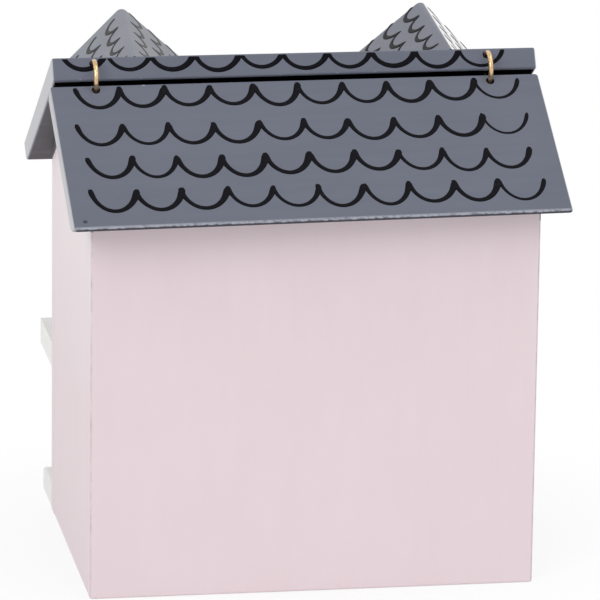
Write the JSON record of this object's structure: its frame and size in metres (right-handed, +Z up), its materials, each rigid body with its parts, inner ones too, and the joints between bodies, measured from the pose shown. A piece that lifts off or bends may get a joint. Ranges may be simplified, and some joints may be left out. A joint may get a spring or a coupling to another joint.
{
  "type": "money box",
  "caption": "House-shaped painted board money box with a scalloped roof, gabled dormers, a front balcony, a coin slot and a rear roof lid hung on brass wire rings.",
  "frame": {"origin": "centre of the house walls' footprint, on the ground", "axes": "+Z up; the front with the step and balcony faces -Y; the hinged rear roof board faces +Y; +X is on the right seen from the front"},
  "size_m": [0.1223, 0.1114, 0.1273],
  "materials": {
    "pink_paint": "pale pink satin paint on board",
    "roof_paint": "blue-grey semi-gloss paint with brushed dark scallops",
    "white_paint": "white satin paint",
    "joinery_paint": "white paint with grey panes",
    "brass": "bright wire",
    "bare_wood": "unpainted"
  },
  "bodies": {
    "house": {"floor_panel": "bare_wood", "back_wall": "pink_paint", "front_wall": "pink_paint", "gable_wall_right": "pink_paint", "gable_wall_left": "pink_paint", "front_roof_board": "roof_paint", "hinge_ring_right": "brass", "hinge_ring_left": "brass", "front_step": "white_paint", "balcony_slab": "white_paint", "balcony_dowels": "bare_wood", "front_door": "joinery_paint", "door_knob": "brass", "balcony_door": "joinery_paint", "lower_window_right": "joinery_paint", "lower_window_left": "joinery_paint", "upper_window_right": "joinery_paint", "upper_window_left": "joinery_paint", "dormer_block_right": "pink_paint", "dormer_leaf_outer_right": "roof_paint", "dormer_leaf_inner_right": "roof_paint", "dormer_window_right": "joinery_paint", "dormer_block_left": "pink_paint", "dormer_leaf_outer_left": "roof_paint", "dormer_leaf_inner_left": "roof_paint", "dormer_window_left": "joinery_paint"},
    "lid": {"rear_roof_lid": "roof_paint"}
  },
  "joints": [
    {"name": "lid_hinge", "type": "hinge", "parent": "house", "child": "lid", "pos_m": [0, 0.00515, 0.12285], "axis": [1, 0, 0], "range_deg": [0, 140]}
  ]
}
